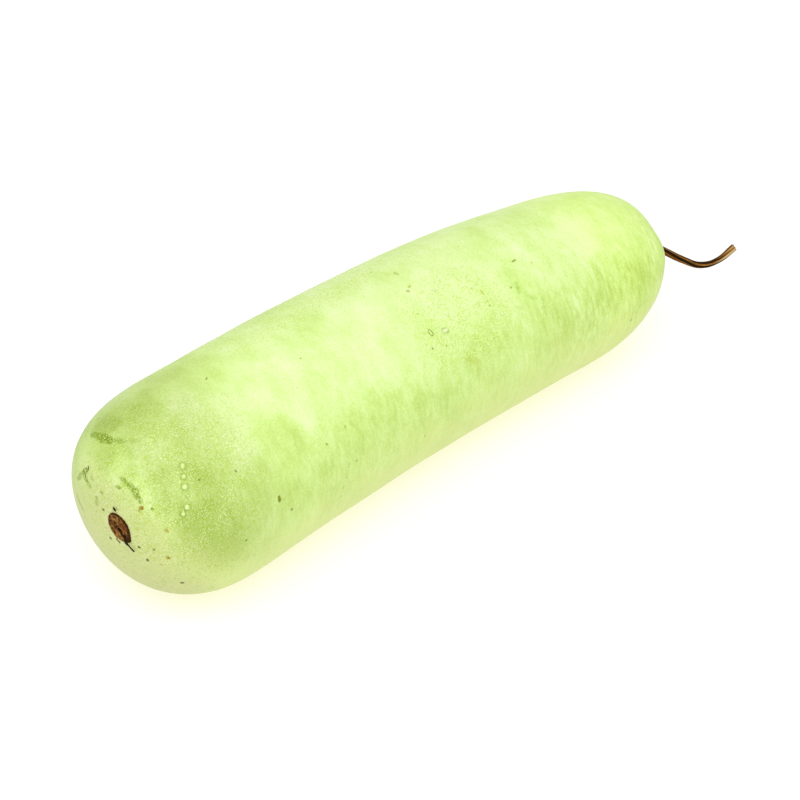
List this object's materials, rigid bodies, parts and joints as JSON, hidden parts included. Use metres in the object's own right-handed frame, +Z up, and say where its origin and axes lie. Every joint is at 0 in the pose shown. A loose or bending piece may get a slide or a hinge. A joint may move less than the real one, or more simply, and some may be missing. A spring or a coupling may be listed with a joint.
{
  "type": "bottle gourd",
  "caption": "Long, nearly cylindrical pale green gourd lying on its side, with blunt rounded ends, a dry oval blossom scar and a thin dry curved stem.",
  "frame": {"origin": "on the surface that the gourd lies on, in the flat resting spot, under the middle of the fruit's length", "axes": "+X along the fruit from the blossom scar towards the stem, +Z up from the surface, +Y across the fruit"},
  "size_m": [0.3931, 0.1018, 0.094],
  "materials": {
    "skin": "pale yellow-green vegetable skin, satin, faintly streaked and mottled, with fine water droplets",
    "dry_stem": "dry, ribbed, tan to dark brown, matte",
    "dry_scar": "dry, corky, dark brown with a darker rim, matte"
  },
  "bodies": {
    "root": {"fruit": "skin", "stem": "dry_stem", "blossom_scar": "dry_scar"}
  },
  "joints": []
}
